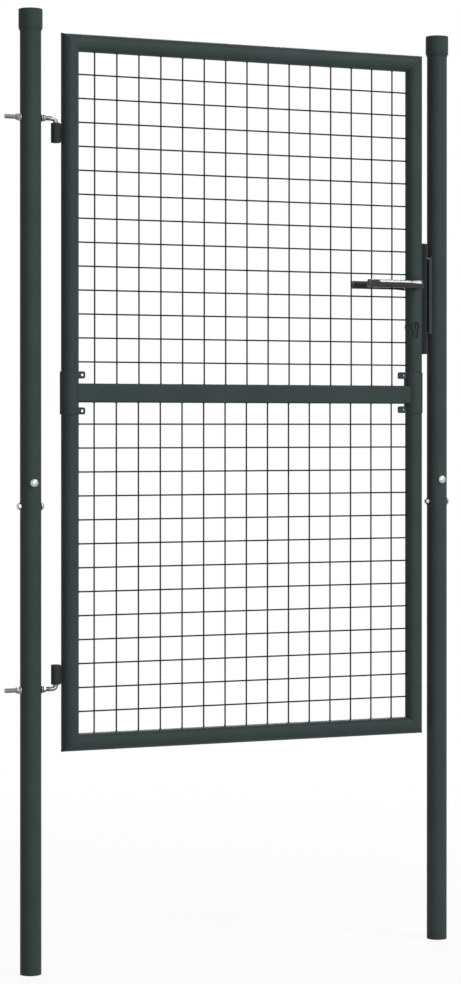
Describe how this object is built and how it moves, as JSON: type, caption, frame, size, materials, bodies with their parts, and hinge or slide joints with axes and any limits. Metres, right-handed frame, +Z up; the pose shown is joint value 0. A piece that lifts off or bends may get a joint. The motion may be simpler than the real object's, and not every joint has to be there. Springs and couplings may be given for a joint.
{
  "type": "mesh garden gate",
  "caption": "Single-leaf garden gate of round steel tube with welded wire mesh, bolted two-piece posts, bent-bolt hinges and a lever lock.",
  "frame": {"origin": "centre of the hinge post's foot", "axes": "+X from the hinge post to the latch post, +Y away from the front, +Z up"},
  "size_m": [1.0398, 0.089, 1.9987],
  "materials": {
    "tube_paint": "satin powder coat, dark green-grey",
    "cap_plastic": "matte moulded plastic, dark green-grey",
    "case_paint": "satin powder coat, dark grey",
    "mesh_paint": "satin powder coat on wire, dark grey",
    "zinc": "bright zinc plating",
    "barrel_paint": "dark powder coat over a weld",
    "lever_metal": "dark satin, bright along its upper edge",
    "cylinder_metal": "dark nickel plated",
    "forend_steel": "dark satin"
  },
  "bodies": {
    "posts": {"hinge_post_lower": "tube_paint", "hinge_post_upper": "tube_paint", "hinge_post_sleeve": "zinc", "hinge_post_cap": "cap_plastic", "hinge_post_front_bolt": "zinc", "hinge_post_side_bolt": "zinc", "latch_post_lower": "tube_paint", "latch_post_upper": "tube_paint", "latch_post_sleeve": "zinc", "latch_post_cap": "cap_plastic", "latch_post_front_bolt": "zinc", "latch_post_side_bolt": "zinc", "strike": "tube_paint", "upper_hinge_bolt": "zinc", "upper_hinge_nuts": "zinc", "lower_hinge_bolt": "zinc", "lower_hinge_nuts": "zinc"},
    "leaf": {"top_rail": "tube_paint", "mid_rail": "tube_paint", "bottom_rail": "tube_paint", "upper_hinge_stile": "tube_paint", "lower_hinge_stile": "tube_paint", "upper_latch_stile": "tube_paint", "lower_latch_stile": "tube_paint", "hinge_side_collar": "tube_paint", "latch_side_collar": "tube_paint", "upper_mesh": "mesh_paint", "lower_mesh": "mesh_paint", "upper_hinge_barrel": "barrel_paint", "lower_hinge_barrel": "barrel_paint", "lock_case": "case_paint", "forend_plate": "forend_steel", "latch_bolt": "cylinder_metal", "dead_bolt": "cylinder_metal", "lock_cylinder": "cylinder_metal"},
    "handle": {"front_lever": "lever_metal", "back_lever": "lever_metal", "handle_spindle": "zinc"}
  },
  "joints": [
    {"name": "gate_swing", "type": "hinge", "parent": "posts", "child": "leaf", "pos_m": [0.0552, 0, 1.2], "axis": [0, 0, -1], "range_deg": [0, 100]},
    {"name": "handle_turn", "type": "hinge", "parent": "leaf", "child": "handle", "pos_m": [0.8915, 0, 1.447], "axis": [0, -1, 0], "range_deg": [0, 38], "stiffness_Nm_per_rad": 1.2, "springref_deg": -20.05}
  ]
}
